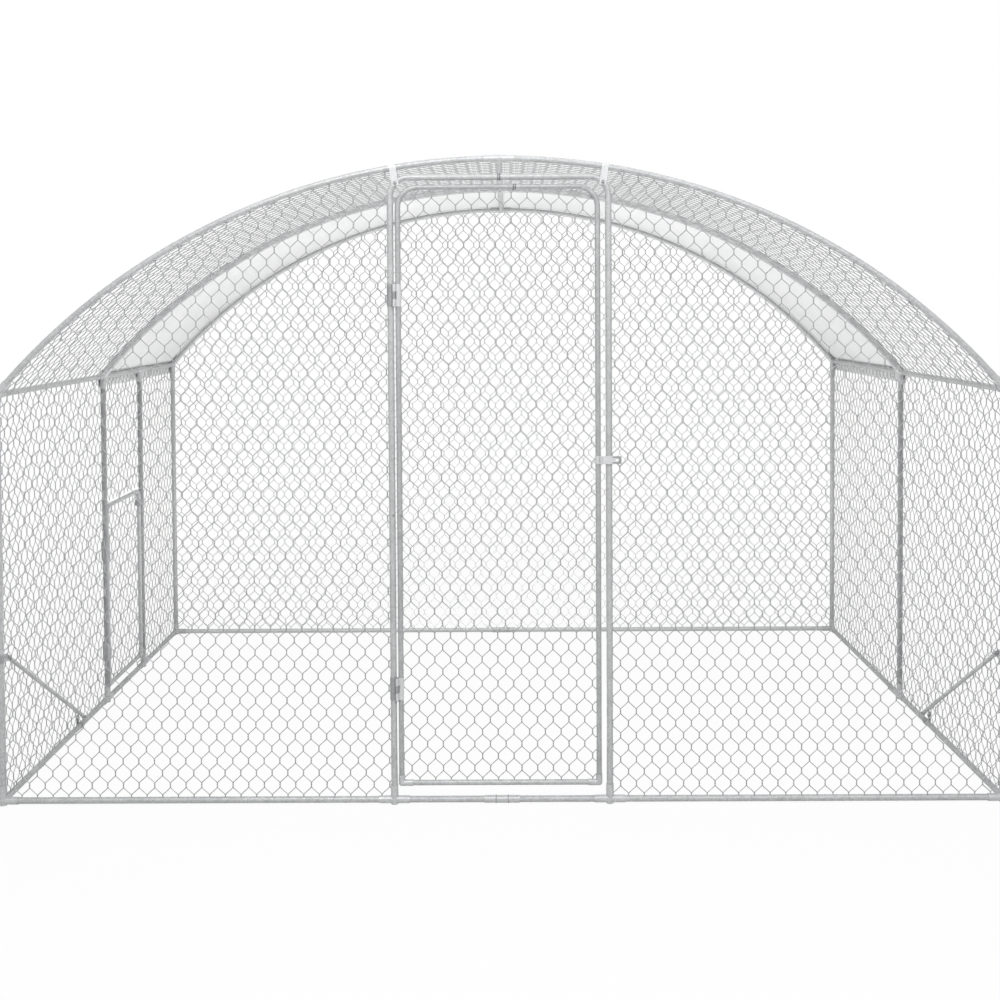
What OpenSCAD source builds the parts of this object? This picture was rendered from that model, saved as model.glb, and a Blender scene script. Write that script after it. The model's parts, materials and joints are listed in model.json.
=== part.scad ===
// Walk-in chicken run: a galvanised tube frame with an arched roof, hexagonal wire netting,
// a front door, a small side door and a cover over the rear bay.
// X runs across the front, Y from the front to the back, Z up, with the ground at zero.

/* [Run] */
// Overall width over the corner posts
run_w = 3000; // [2600:50:3600]
// Overall depth over the front and rear posts
run_d = 2000; // [1800:50:2800]
// Height of the ridge, at the centre of the arch tube
ridge_h = 1915; // [1800:5:2050]
// Height of the eaves, at the centre of the eave rail
eave_h = 1228; // [1100:2:1350]

/* [Frame tube] */
// Outside diameter of the frame tubes
tube_d = 19; // [17:0.5:22]
// Wall of every tube
tube_wall = 1; // [0.8:0.1:1.4]
// Length of a spigot where one tube plugs into the next
spigot_len = 40; // [25:1:60]
// Clearance between a spigot and the tube around it
spigot_gap = 0.2; // [0.1:0.05:0.4]

/* [Fittings] */
// Clearance between a tube and its socket
socket_gap = 0.2; // [0.1:0.05:0.4]
// Wall of a socket
socket_wall = 1.5; // [1:0.1:2.5]
// Reach of a socket from the centre of its fitting
socket_reach = 45; // [35:1:70]
// Space between a tube's end and the tube that crosses its fitting
tube_setback = 4.5; // [2:0.5:10]
// Length of the sleeve that joins two base rails
coupler_len = 105; // [60:1:160]
// Radius of the groove crimped round each end of that sleeve
crimp_r = 0.9; // [0.4:0.1:1.2]
// Extra radius of the round hub of a fitting
hub_swell = 1.25; // [1.2:0.05:1.4]
// Height of the lowest hubs above the ground
foot_rise = 0.5; // [0.2:0.1:5]

/* [Door frame] */
// Distance between the centres of the two door posts
door_span = 642; // [560:2:760]
// Drop from the ridge to the centre of the header
header_drop = 54; // [45:1:90]
// Bend radius of the door frame's corners
frame_bend = 55; // [40:1:90]
// Height of the joint between the lower and upper door tubes
joint_h = 859; // [600:1:960]
// Width of the strap that hangs the door frame from the arch
strap_w = 20; // [14:1:30]
// Thickness of the strap
strap_t = 1.5; // [1:0.1:3]
// Length of the strap below its bolt
strap_tail = 9; // [7:0.5:14]

/* [Front door] */
// Outside diameter of the door leaf's tubes
leaf_d = 16; // [14:0.5:17]
// Distance from the hinge post to the hinge stile
hinge_span = 22; // [21:0.5:30]
// Distance from the latch stile to the latch post
latch_span = 32; // [28:0.5:40]
// Drop from the header to the leaf's top rail
leaf_drop = 29; // [24:0.5:45]
// Height of the leaf's bottom rail
leaf_foot = 63; // [45:1:100]
// Bend radius of the leaf's top corners
leaf_bend = 60; // [40:1:90]
// Offset of the top rail's joint from the middle of the leaf
leaf_joint = 50; // [0:1:90]
// Sideways reach of the leaf's lower elbows
elbow_reach = 33; // [25:1:50]
// Upward reach of the leaf's lower elbows
elbow_rise = 24; // [20:1:50]
// Wall of the elbows
elbow_wall = 1.3; // [1:0.1:2]
// Height of the lower hinge
hinge_low = 347; // [200:1:600]
// Distance of the upper hinge below the top of the leaf
hinge_high = 317; // [200:1:600]
// Height of the latch
latch_at = 1026; // [900:2:1150]

/* [Side door] */
// Distance from the middle post to the side door's latch post
side_span = 472; // [420:2:600]
// Height of the side leaf's top rail
side_top = 736; // [620:2:850]
// Height of the side leaf's bottom rail
side_foot = 60; // [45:1:100]
// Bend radius of the side leaf's top corners
side_bend = 35; // [30:1:60]
// Height of the side door's lower hinge
side_low = 190; // [140:5:260]
// Distance of the side door's upper hinge below the top of its leaf
side_high = 166; // [150:1:300]
// Distance of the side door's latch below the top of its leaf
side_latch = 51; // [48:1:200]

/* [Hinges] */
// Height of a hinge
hinge_h = 66; // [48:1:90]
// Distance of the hinge pin in front of the tubes
hinge_out = 14; // [12.5:0.5:20]
// Outside diameter of the knuckles
knuckle_d = 9; // [8:0.5:10]
// Diameter of the hinge pin
hinge_pin_d = 5; // [4:0.25:5.5]
// Wall of the bands around the tubes
band_wall = 1.2; // [0.8:0.1:1.4]
// Clearance between a band and its tube
band_gap = 0.15; // [0.1:0.05:0.3]
// Radial clearance of a pin in its knuckles
pin_gap = 0.05; // [0.02:0.01:0.1]
// Gap between neighbouring knuckles
knuckle_gap = 0.3; // [0.2:0.05:0.6]

/* [Latch] */
// Height of the hasp
hasp_h = 24; // [18:1:32]
// Thickness of the hasp
hasp_t = 2; // [1.5:0.1:3]
// Clearance between the hasp and the keeper behind it
hasp_gap = 0.35; // [0.3:0.05:0.8]
// Wall of the latch clamp and of the keeper
clamp_wall = 1.5; // [1:0.1:1.6]
// Diameter of the hasp's pin
hasp_pin_d = 3.5; // [3:0.1:4]
// Outside diameter of the hasp's knuckles
hasp_knuckle_d = 7; // [6:0.1:7.4]
// Length of the hasp's tongue past the post
tongue_len = 20; // [16:1:30]
// Diameter of the padlock hole
padlock_d = 7; // [5:0.5:8]
// Length of the keeper's flange from the post's centre
flange_len = 36; // [32:1:50]

/* [Braces] */
// Outside diameter of the braces
brace_d = 12.5; // [11:0.5:18]
// Distance from the front post to the brace's lower end
brace_run = 687; // [500:1:800]
// Height of the brace's upper end
brace_rise = 440; // [300:1:560]
// Height of the brace's lower bolt above the base rail
brace_lift = 30; // [26:1:50]
// Height of a brace bracket's band
bracket_h = 24; // [18:1:36]
// Thickness of a brace's flattened end
tab_t = 3; // [2:0.1:4]

/* [Netting] */
// Width of a cell of the netting
cell_w = 160; // [120:5:240]
// Width of a strand
strand_w = 3; // [2:0.1:5]
// Thickness of the netting
net_t = 2; // [1.5:0.1:3]
// Width of the border wire around a panel
net_border = 4; // [2:0.5:8]
// Clearance between a panel and the fittings
net_gap = 0.3; // [0.2:0.05:0.5]
// Strips of netting on each side of the ridge
roof_strips = 4; // [3:1:6]

/* [Cover] */
// Thickness of the cover sheet
cover_t = 1.2; // [0.8:0.1:2]
// Clearance between the cover and the fittings below it
cover_gap = 0.3; // [0.2:0.05:0.5]
// Length of the skirt below the eaves
cover_skirt = 40; // [25:1:80]

/* [Hidden] */
$fn = 48;
// Segments of a full circle as large as the roof arch
arch_fn = 360;
// Overrun of every cut
cut = 5;
// Space between faces that are bolted together
seat_gap = 0.1;
// Place of a crimped groove along the sleeve
crimp_share = 0.18;

tube_r = tube_d / 2;
leaf_r = leaf_d / 2;
fit_r = tube_r + socket_gap + socket_wall;
hub_r = fit_r + hub_swell;
tube_stop = tube_r + tube_setback;
elbow_r = leaf_r + socket_gap + elbow_wall;
leaf_stop = leaf_r + tube_setback;
net_inset = fit_r + net_gap;
arch_inset = hub_r + net_gap;
leaf_inset = elbow_r + net_gap;
cover_r = hub_r + cover_gap;

// The whole part is centred on its box, which the hinges widen at the front and on the left
hinge_reach = hinge_out + knuckle_d / 2;
half_x = run_w / 2 - tube_r;
half_y = run_d / 2 - tube_r;
x_mid = (hinge_reach - cover_r - cover_t) / 2;
x_left = x_mid - half_x;
x_right = x_mid + half_x;
y_mid = (hinge_reach - hub_r) / 2;
y_front = y_mid - half_y;
y_rear = y_mid + half_y;
y_side = y_mid + side_span;
base_z = hub_r + foot_rise;

// Roof arch through the eaves and the ridge
arch_rise = ridge_h - eave_h;
arch_r = (half_x * half_x + arch_rise * arch_rise) / (2 * arch_rise);
arch_z = ridge_h - arch_r;
eave_a = atan2(eave_h - arch_z, half_x);
stop_a = tube_stop / arch_r * 180 / PI;
reach_a = socket_reach / arch_r * 180 / PI;
inset_a = net_inset / arch_r * 180 / PI;

// Door frame and leaf
header_z = ridge_h - header_drop;
door_x = x_mid - door_span / 2;
leaf_top = header_z - leaf_drop;
leaf_w = door_span - hinge_span - latch_span;
side_w = side_span - hinge_span - latch_span;
side_latch_z = side_top - side_latch;

// Straps, on the line from the arch's centre through the middle of the frame's corner
corner_x = door_span / 2 - frame_bend + frame_bend * cos(45);
corner_z = header_z - frame_bend + frame_bend * sin(45) - arch_z;
strap_a = atan2(corner_x, corner_z);
strap_r = norm([corner_x, corner_z]);
strap_gap = 0.3;
strap_in = tube_r + strap_gap;
strap_out = strap_in + strap_t;

// Bolts
bolt_d = 6;
bolt_hole = 6.4;
bolt_head_d = 11;
bolt_head_t = 4;
bolt_end = 2;

// Hinges
pin_x = hinge_span / 2;
web_w = 5;
pin_head_t = 2;
pin_head_d = knuckle_d - 1.6 * band_wall;

// Latch
keeper_r = tube_r + band_gap + clamp_wall;
keeper_h = hasp_h - clamp_wall;
hasp_out = keeper_r + hasp_gap + hasp_knuckle_d / 2;
hasp_x = leaf_r;
plate_back = (hasp_knuckle_d - hasp_t) / 2;
tongue_h = hasp_h / 2;

// Braces
tab_x = keeper_r + seat_gap;
tab_w = brace_d;
tab_len = brace_d * 1.6;
ear_len = brace_d * 2.2;
brace_x = tab_x + tab_t / 2;

// Netting cell: twist and row height as shares of the cell's width
row_share = 0.76;
twist_share = 0.23;
row_h = cell_w * row_share;
twist_h = cell_w * twist_share;
hole_scale = 1 - strand_w / cell_w;

zinc = [0.74, 0.75, 0.76];
bright = [0.84, 0.85, 0.86];
dull = [0.58, 0.60, 0.61];
wire = [0.66, 0.67, 0.68];
sheet = [0.90, 0.91, 0.91];

// Turn a shape that stands along Z to lie along X or along Y
module along_x() { rotate([0, 90, 0]) children(); }
module along_y() { rotate([-90, 0, 0]) children(); }

// Turn a flat shape up into the plane of the front
module upright() { rotate([90, 0, 0]) children(); }

// Draw once on each side of the run's middle plane
module both_sides() {
  for (side = [0, 1])
    translate([x_mid, 0, 0])
      mirror([side, 0, 0])
        children();
}

// Frames in which a door is drawn: hinge post at the origin, latch post along X, outside at -Y
module front_door_place() { translate([door_x, y_front, 0]) children(); }
module side_door_place() { translate([x_left, y_mid, 0]) mirror([1, -1, 0]) children(); }

module tube_ring(d) {
  difference() {
    circle(d = d);
    circle(d = d - 2 * tube_wall);
  }
}

module tube(d, length) {
  linear_extrude(length)
    tube_ring(d);
}

// Tube whose far end narrows to a spigot for the next tube
module swaged_tube(d, length) {
  spigot_d = d - 2 * tube_wall - 2 * spigot_gap;
  difference() {
    union() {
      cylinder(d = d, h = length);
      cylinder(d = spigot_d, h = length + spigot_len);
    }
    translate([0, 0, -cut])
      cylinder(d = d - 2 * tube_wall, h = length + cut - 2 * tube_wall);
    translate([0, 0, -cut])
      cylinder(d = spigot_d - 2 * tube_wall, h = length + spigot_len + 2 * cut);
  }
}

// Bent tube in the plane of the front, about the origin
module bent_tube(d, radius, from, sweep) {
  upright()
    rotate([0, 0, from])
      rotate_extrude(angle = sweep, $fn = arch_fn)
        translate([radius, 0])
          tube_ring(d, $fn = 48);
}

// Tube that rises from the origin, turns a corner and runs along X
module hooked_tube(d, rise, bend, run, spigot) {
  tube(d, rise);
  translate([bend, 0, rise])
    bent_tube(d, bend, 90, 90);
  translate([bend, 0, rise + bend])
    along_x()
      if (spigot) swaged_tube(d, run);
      else tube(d, run);
}

// Solid and bore of one socket, along Z from the fitting's centre
module socket_body(reach) { cylinder(r = fit_r, h = reach); }
module socket_bore(from, reach) {
  translate([0, 0, from])
    cylinder(r = tube_r + socket_gap, h = reach - from + cut);
}

// Fitting with a round hub and one socket for each direction in the list
module fitting(ways, foot) {
  difference() {
    union() {
      rotate(turn(ways[0]))
        sphere(r = hub_r);
      for (way = ways)
        rotate(turn(way))
          socket_body(socket_reach);
      if (foot)
        translate([0, 0, -base_z])
          cylinder(r = fit_r, h = base_z);
    }
    for (way = ways)
      rotate(turn(way))
        socket_bore(tube_stop, socket_reach);
  }
}

// Tee that slides over a rail lying along Z and holds a post along X
module sliding_tee() {
  difference() {
    union() {
      translate([0, 0, -socket_reach])
        socket_body(2 * socket_reach);
      along_x()
        socket_body(socket_reach);
    }
    translate([0, 0, -socket_reach - cut])
      socket_bore(0, 2 * socket_reach + cut);
    along_x()
      socket_bore(tube_stop, socket_reach);
  }
}

// Turn that points a socket, drawn along Z, along a rail, a post or the start of an arch
function turn(way) =
  way == "down" ? [180, 0, 0] :
  way == "right" ? [0, 90, 0] :
  way == "left" ? [0, -90, 0] :
  way == "back" ? [-90, 0, 0] :
  way == "front" ? [90, 0, 0] :
  way == "eave to ridge" ? [0, -eave_a - reach_a / 2, 0] :
  way == "ridge to right" ? [0, 90 + reach_a / 2, 0] :
  way == "ridge to left" ? [0, -90 - reach_a / 2, 0] : [0, 0, 0];

// Posts
post_z = base_z + tube_stop;
post_len = eave_h - tube_stop - post_z;
module post(x, y) {
  color(zinc)
    translate([x, y, post_z])
      tube(tube_d, post_len);
}

// Half of a roof arch, from an eave fitting to the ridge fitting
module arch_half(y, side) {
  color(zinc)
    translate([x_mid, y, arch_z])
      mirror([side < 0 ? 1 : 0, 0, 0])
        bent_tube(tube_d, arch_r, eave_a + stop_a, 90 - eave_a - 2 * stop_a);
}

// Two rails in line along Y, one in each bay
module bay_rails(x, z) {
  color(zinc)
    for (y = [y_front, y_mid])
      translate([x, y + tube_stop, z])
        along_y()
          tube(tube_d, half_y - 2 * tube_stop);
}
module ridge_rails() { bay_rails(x_mid, ridge_h); }
module eave_rails(x) { bay_rails(x, eave_h); }
module base_rails_side(x) { bay_rails(x, base_z); }

// Two rails that meet in the middle of the front or the back
module base_rails_across(y) {
  color(zinc)
    both_sides()
      translate([seat_gap, y, base_z])
        along_x()
          tube(tube_d, half_x - tube_stop - seat_gap);
}

module base_couplers() {
  color(bright)
    for (y = [y_front, y_rear])
      translate([x_mid - coupler_len / 2, y, base_z])
        along_x()
          difference() {
            cylinder(r = fit_r, h = coupler_len);
            translate([0, 0, -cut])
              socket_bore(0, coupler_len + cut);
            for (z = [coupler_len * crimp_share, coupler_len * (1 - crimp_share)])
              translate([0, 0, z])
                rotate_extrude()
                  translate([fit_r, 0])
                    circle(r = crimp_r, $fn = 12);
          }
}

module base_fittings() {
  color(bright)
    both_sides() {
      translate([half_x, y_front, base_z])
        fitting(["up", "left", "back"], true);
      translate([half_x, y_mid, base_z])
        fitting(["up", "front", "back"], true);
      translate([half_x, y_rear, base_z])
        fitting(["up", "left", "front"], true);
    }
}

// Tee on a base rail, with a foot below the post
module standing_tee() {
  rotate([0, -90, 0])
    sliding_tee();
  translate([0, 0, -base_z])
    difference() {
      cylinder(r = fit_r, h = base_z);
      translate([-socket_reach, 0, base_z])
        along_x()
          cylinder(r = tube_r + socket_gap, h = 2 * socket_reach);
    }
}

module post_tees() {
  color(bright) {
    both_sides()
      translate([door_span / 2, y_front, base_z])
        standing_tee();
    translate([x_left, y_side, base_z])
      rotate([0, 0, 90])
        standing_tee();
    translate([x_left, y_side, eave_h])
      rotate([0, 0, 90])
        rotate([0, 90, 0])
          sliding_tee();
  }
}

// Fittings of the arches: a socket lies on the chord of the arch inside it
module eave_fittings() {
  color(bright)
    both_sides()
      translate([half_x, 0, eave_h]) {
        translate([0, y_front, 0])
          fitting(["down", "eave to ridge", "back"], false);
        translate([0, y_mid, 0])
          fitting(["down", "eave to ridge", "front", "back"], false);
        translate([0, y_rear, 0])
          fitting(["down", "eave to ridge", "front"], false);
      }
}

module ridge_fittings() {
  color(bright)
    translate([x_mid, 0, ridge_h]) {
      translate([0, y_front, 0])
        fitting(["ridge to left", "ridge to right", "back"], false);
      translate([0, y_mid, 0])
        fitting(["ridge to left", "ridge to right", "front", "back"], false);
      translate([0, y_rear, 0])
        fitting(["ridge to left", "ridge to right", "front"], false);
    }
}

// Door frame
module door_posts() {
  color(zinc)
    for (x = [0, door_span])
      translate([door_x + x, y_front, post_z])
        swaged_tube(tube_d, joint_h - post_z);
}

module strap_place() {
  translate([x_mid, y_front, arch_z])
    rotate([0, strap_a, 0])
      translate([0, 0, strap_r])
        children();
}

module door_frame_half(spigot) {
  difference() {
    front_door_place()
      translate([0, 0, joint_h])
        hooked_tube(tube_d, header_z - frame_bend - joint_h, frame_bend, door_span / 2 - frame_bend, spigot);
    translate([2 * x_mid, 0, 0])
      mirror([1, 0, 0])
        strap_place()
          upright()
            cylinder(d = bolt_hole, h = 2 * tube_d, center = true);
  }
}
module door_frame_left() { color(zinc) door_frame_half(false); }
module door_frame_right() {
  color(zinc)
    translate([2 * x_mid, 0, 0])
      mirror([1, 0, 0])
        door_frame_half(true);
}

// Strap over the arch, with a leg on each side of the frame's corner
module strap() {
  arch_lift = arch_r - strap_r;
  difference() {
    translate([-strap_w / 2, 0, 0])
      union() {
        translate([0, 0, arch_lift])
          along_x()
            cylinder(r = strap_out, h = strap_w);
        translate([0, -strap_out, -strap_tail])
          cube([strap_w, 2 * strap_out, arch_lift + strap_tail]);
      }
    translate([-strap_w / 2 - cut, 0, 0]) {
      translate([0, 0, arch_lift])
        along_x()
          cylinder(r = strap_in, h = strap_w + 2 * cut);
      translate([0, -strap_in, -strap_tail - cut])
        cube([strap_w + 2 * cut, 2 * strap_in, arch_lift + strap_tail + cut]);
    }
    upright()
      cylinder(d = bolt_hole, h = 4 * strap_out, center = true);
  }
}

module door_frame_straps() {
  color(bright)
    both_sides()
      translate([-x_mid, 0, 0])
        strap_place()
          strap();
}

// Bolt along Z with its head above, and a nut below the clamped stack
module bolt(stack) {
  cylinder(d = bolt_d, h = stack + 2 * (bolt_head_t + bolt_end), center = true);
  for (end = [0, 1])
    mirror([0, 0, end])
      translate([0, 0, stack / 2 + seat_gap])
        cylinder(d = bolt_head_d, h = bolt_head_t, $fn = 6);
}

module frame_bolts() {
  color(dull) {
    both_sides()
      translate([-x_mid, 0, 0])
        strap_place()
          upright()
            bolt(2 * strap_out);
    both_sides()
      for (end = [brace_top, brace_bottom])
        translate([half_x - (keeper_r - clamp_wall + tab_x + tab_t) / 2, end[0], end[1]])
          along_x()
            bolt(clamp_wall + seat_gap + tab_t);
  }
}

module side_door_post() {
  color(zinc)
    translate([x_left, y_side, post_z])
      tube(tube_d, post_len);
}

// Braces, on the inside of the front posts and of the side base rails
brace_top = [y_front + keeper_r + tab_len / 2, brace_rise];
brace_bottom = [y_front + brace_run, base_z + brace_lift];
brace_line = brace_bottom - brace_top;
brace_len = norm(brace_line);
brace_tilt = atan2(-brace_line[1], brace_line[0]);

// Flattened end of a brace, along X from its bolt
module brace_tab() {
  difference() {
    union() {
      cylinder(d = tab_w, h = tab_t, center = true);
      translate([0, -tab_w / 2, -tab_t / 2])
        cube([tab_len, tab_w, tab_t]);
    }
    cylinder(d = bolt_hole, h = tab_t + 2 * cut, center = true);
  }
}

module brace() {
  translate([half_x - brace_x, brace_top[0], brace_top[1]])
    rotate([-brace_tilt, 0, 0])
      rotate([90, 0, 90]) {
        brace_tab();
        translate([brace_len, 0, 0])
          mirror([1, 0, 0])
            brace_tab();
        translate([tab_len - tab_w / 2, 0, 0])
          along_x()
            tube(brace_d, brace_len - 2 * tab_len + tab_w);
      }
}

module braces() {
  color(zinc)
    both_sides()
      brace();
}

// Band around a tube along Z, with a flat ear that leaves it along X
module ear_band(height, length) {
  difference() {
    union() {
      cylinder(r = keeper_r, h = height, center = true);
      translate([0, -keeper_r, -height / 2])
        cube([length, clamp_wall, height]);
    }
    cylinder(d = tube_d + 2 * band_gap, h = height + 2 * cut, center = true);
  }
}

module brace_brackets() {
  color(dull)
    both_sides()
      difference() {
        union() {
          translate([half_x, y_front, brace_rise])
            rotate([0, 0, 90])
              mirror([0, 1, 0])
                ear_band(bracket_h, ear_len);
          translate([half_x, y_front + brace_run, base_z])
            rotate([0, -90, 90])
              ear_band(bracket_h, brace_lift + tab_w / 2);
        }
        for (end = [brace_top, brace_bottom])
          translate([half_x, end[0], end[1]])
            along_x()
              cylinder(d = bolt_hole, h = 4 * keeper_r, center = true);
      }
}

// Hinges: a band on the post, a band on the stile and a pin in front of the gap between them
module hinge_half(d, x, knuckles) {
  web = norm([pin_x, hinge_out]);
  difference() {
    union() {
      translate([x, 0, -hinge_h / 2])
        cylinder(d = d + 2 * (band_gap + band_wall), h = hinge_h);
      for (knuckle = knuckles)
        translate([0, 0, knuckle[0]])
          linear_extrude(knuckle[1] - knuckle[0]) {
            translate([pin_x, -hinge_out])
              circle(d = knuckle_d);
            translate([x, 0])
              rotate(atan2(-hinge_out, pin_x - x))
                translate([0, -web_w / 2])
                  square([web, web_w]);
          }
    }
    translate([x, 0, -hinge_h / 2 - cut])
      cylinder(d = d + 2 * band_gap, h = hinge_h + 2 * cut);
    translate([pin_x, -hinge_out, -hinge_h / 2 - cut])
      cylinder(d = hinge_pin_d + 2 * pin_gap, h = hinge_h + 2 * cut);
  }
}

third = hinge_h / 6 - knuckle_gap / 2;
post_knuckles = [[-third, third]];
leaf_knuckles = [[-hinge_h / 2, -third - knuckle_gap], [third + knuckle_gap, hinge_h / 2]];

module hinge_pin() {
  translate([pin_x, -hinge_out, 0]) {
    cylinder(d = hinge_pin_d, h = hinge_h + 2 * knuckle_gap, center = true);
    for (end = [0, 1])
      mirror([0, 0, end])
        translate([0, 0, hinge_h / 2 + knuckle_gap])
          cylinder(d = pin_head_d, h = pin_head_t);
  }
}

module at_heights(heights) {
  for (z = heights)
    translate([0, 0, z])
      children();
}
front_hinges = [hinge_low, leaf_top - hinge_high];
side_hinges = [side_low, side_top - side_high];

module hinge_post_clamps() {
  color(dull) {
    front_door_place() at_heights(front_hinges) hinge_half(tube_d, 0, post_knuckles);
    side_door_place() at_heights(side_hinges) hinge_half(tube_d, 0, post_knuckles);
  }
}
module hinge_pins() {
  color(bright) {
    front_door_place() at_heights(front_hinges) hinge_pin();
    side_door_place() at_heights(side_hinges) hinge_pin();
  }
}
module leaf_hinge_clamps() {
  color(bright)
    front_door_place() at_heights(front_hinges) hinge_half(leaf_d, hinge_span, leaf_knuckles);
}
module side_leaf_hinge_clamps() {
  color(bright)
    side_door_place() at_heights(side_hinges) hinge_half(leaf_d, hinge_span, leaf_knuckles);
}

// Latch: a clamp on the stile, a hasp on its pin, and a keeper on the post behind the hasp
hasp_third = hasp_h / 6;
module latch_clamp() {
  web = norm([hasp_x, hasp_out]);
  difference() {
    union() {
      cylinder(d = leaf_d + 2 * (band_gap + clamp_wall), h = hasp_h, center = true);
      for (end = [0, 1])
        mirror([0, 0, end])
          translate([0, 0, hasp_third + knuckle_gap])
            linear_extrude(hasp_h / 2 - hasp_third - knuckle_gap) {
              translate([hasp_x, -hasp_out])
                circle(d = hasp_knuckle_d);
              rotate(atan2(-hasp_out, hasp_x))
                translate([0, -web_w / 2])
                  square([web, web_w]);
            }
    }
    cylinder(d = leaf_d + 2 * band_gap, h = hasp_h + 2 * cut, center = true);
    translate([hasp_x, -hasp_out, 0])
      cylinder(d = hasp_pin_d + 2 * pin_gap, h = hasp_h + 2 * cut, center = true);
  }
  translate([hasp_x, -hasp_out, 0])
    cylinder(d = hasp_pin_d, h = hasp_h, center = true);
}

module hasp_plate() {
  plate_x = hasp_knuckle_d / 2 + knuckle_gap + band_gap;
  post_edge = latch_span + tube_r - hasp_x;
  difference() {
    union() {
      translate([0, -hasp_third])
        square([plate_x + hasp_t, 2 * hasp_third]);
      translate([plate_x, -hasp_h / 2])
        square([post_edge - plate_x, hasp_h]);
      translate([plate_x, -tongue_h / 2])
        square([post_edge + tongue_len - tongue_h / 2 - plate_x, tongue_h]);
      translate([post_edge + tongue_len - tongue_h / 2, 0])
        circle(d = tongue_h);
    }
    translate([post_edge + tongue_len - tongue_h / 2, 0])
      circle(d = padlock_d);
  }
}

module hasp() {
  translate([hasp_x, -hasp_out, 0])
    difference() {
      union() {
        translate([0, plate_back, 0])
          upright()
            linear_extrude(hasp_t, center = true)
              hasp_plate();
        cylinder(d = hasp_knuckle_d, h = 2 * hasp_third, center = true);
      }
      cylinder(d = hasp_pin_d + 2 * pin_gap, h = hasp_h, center = true);
    }
}

module latch_keeper() {
  hole_x = tube_r + tongue_len - tongue_h / 2;
  difference() {
    ear_band(keeper_h, flange_len);
    translate([hole_x, 0, 0])
      upright()
        cylinder(d = padlock_d, h = 4 * keeper_r, center = true);
  }
}

front_stile_x = door_span - latch_span;
side_stile_x = side_span - latch_span;

module latch_keepers() {
  color(dull) {
    front_door_place() translate([door_span, 0, latch_at]) latch_keeper();
    side_door_place() translate([side_span, 0, side_latch_z]) latch_keeper();
  }
}
module leaf_latch_clamp() {
  color(bright) front_door_place() translate([front_stile_x, 0, latch_at]) latch_clamp();
}
module side_leaf_latch_clamp() {
  color(bright) side_door_place() translate([side_stile_x, 0, side_latch_z]) latch_clamp();
}
module leaf_hasp() {
  color(bright) front_door_place() translate([front_stile_x, 0, latch_at]) hasp();
}
module side_leaf_hasp() {
  color(bright) side_door_place() translate([side_stile_x, 0, side_latch_z]) hasp();
}

// Front door leaf
module leaf_stiles() {
  color(zinc)
    front_door_place()
      for (x = [hinge_span, front_stile_x])
        translate([x, 0, leaf_foot + leaf_stop])
          swaged_tube(leaf_d, joint_h - leaf_foot - leaf_stop);
}
leaf_rise = leaf_top - leaf_bend - joint_h;
leaf_run = leaf_w / 2 - leaf_bend;
module leaf_hoop_left() {
  color(zinc)
    front_door_place()
      translate([hinge_span, 0, joint_h])
        hooked_tube(leaf_d, leaf_rise, leaf_bend, leaf_run + leaf_joint, false);
}
module leaf_hoop_right() {
  color(zinc)
    front_door_place()
      translate([front_stile_x, 0, joint_h])
        mirror([1, 0, 0])
          hooked_tube(leaf_d, leaf_rise, leaf_bend, leaf_run - leaf_joint, true);
}
module bottom_rail(x0, x1, z) {
  translate([x0 + leaf_stop, 0, z])
    along_x()
      tube(leaf_d, x1 - x0 - 2 * leaf_stop);
}
module leaf_bottom_rail() {
  color(zinc) front_door_place() bottom_rail(hinge_span, front_stile_x, leaf_foot);
}
module side_leaf_bottom_rail() {
  color(zinc) side_door_place() bottom_rail(hinge_span, side_stile_x, side_foot);
}

// Elbow at a lower corner, for a stile above and a rail along X
module elbow() {
  difference() {
    union() {
      sphere(r = elbow_r);
      cylinder(r = elbow_r, h = elbow_rise);
      along_x()
        cylinder(r = elbow_r, h = elbow_reach);
    }
    translate([0, 0, leaf_stop])
      cylinder(r = leaf_r + socket_gap, h = elbow_rise);
    along_x()
      translate([0, 0, leaf_stop])
        cylinder(r = leaf_r + socket_gap, h = elbow_reach);
  }
}
module elbow_pair(x0, x1, z) {
  translate([x0, 0, z])
    elbow();
  translate([x1, 0, z])
    mirror([1, 0, 0])
      elbow();
}
module leaf_elbows() {
  color(bright) front_door_place() elbow_pair(hinge_span, front_stile_x, leaf_foot);
}
module side_leaf_elbows() {
  color(bright) side_door_place() elbow_pair(hinge_span, side_stile_x, side_foot);
}

// Side door leaf: one tube bent into a hoop
side_rise = side_top - side_bend - side_foot - leaf_stop;
module side_leaf_hoop() {
  color(zinc)
    side_door_place()
      translate([hinge_span, 0, side_foot + leaf_stop]) {
        hooked_tube(leaf_d, side_rise, side_bend, side_w - 2 * side_bend, false);
        translate([side_w - side_bend, 0, side_rise])
          bent_tube(leaf_d, side_bend, 0, 90);
        translate([side_w, 0, 0])
          tube(leaf_d, side_rise);
      }
}

// Netting: a hole of one cell, and a field of holes that covers a box from the origin
module cell_hole() {
  apex = row_h - twist_h / 2;
  scale(hole_scale)
    polygon([
      [cell_w / 2, twist_h / 2], [0, apex], [-cell_w / 2, twist_h / 2],
      [-cell_w / 2, -twist_h / 2], [0, -apex], [cell_w / 2, -twist_h / 2]
    ]);
}
module cell_field(width, height) {
  for (row = [0 : ceil(height / row_h)])
    for (column = [0 : ceil(width / cell_w)])
      translate([(column + (row % 2) / 2) * cell_w, row * row_h])
        cell_hole();
}

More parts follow.
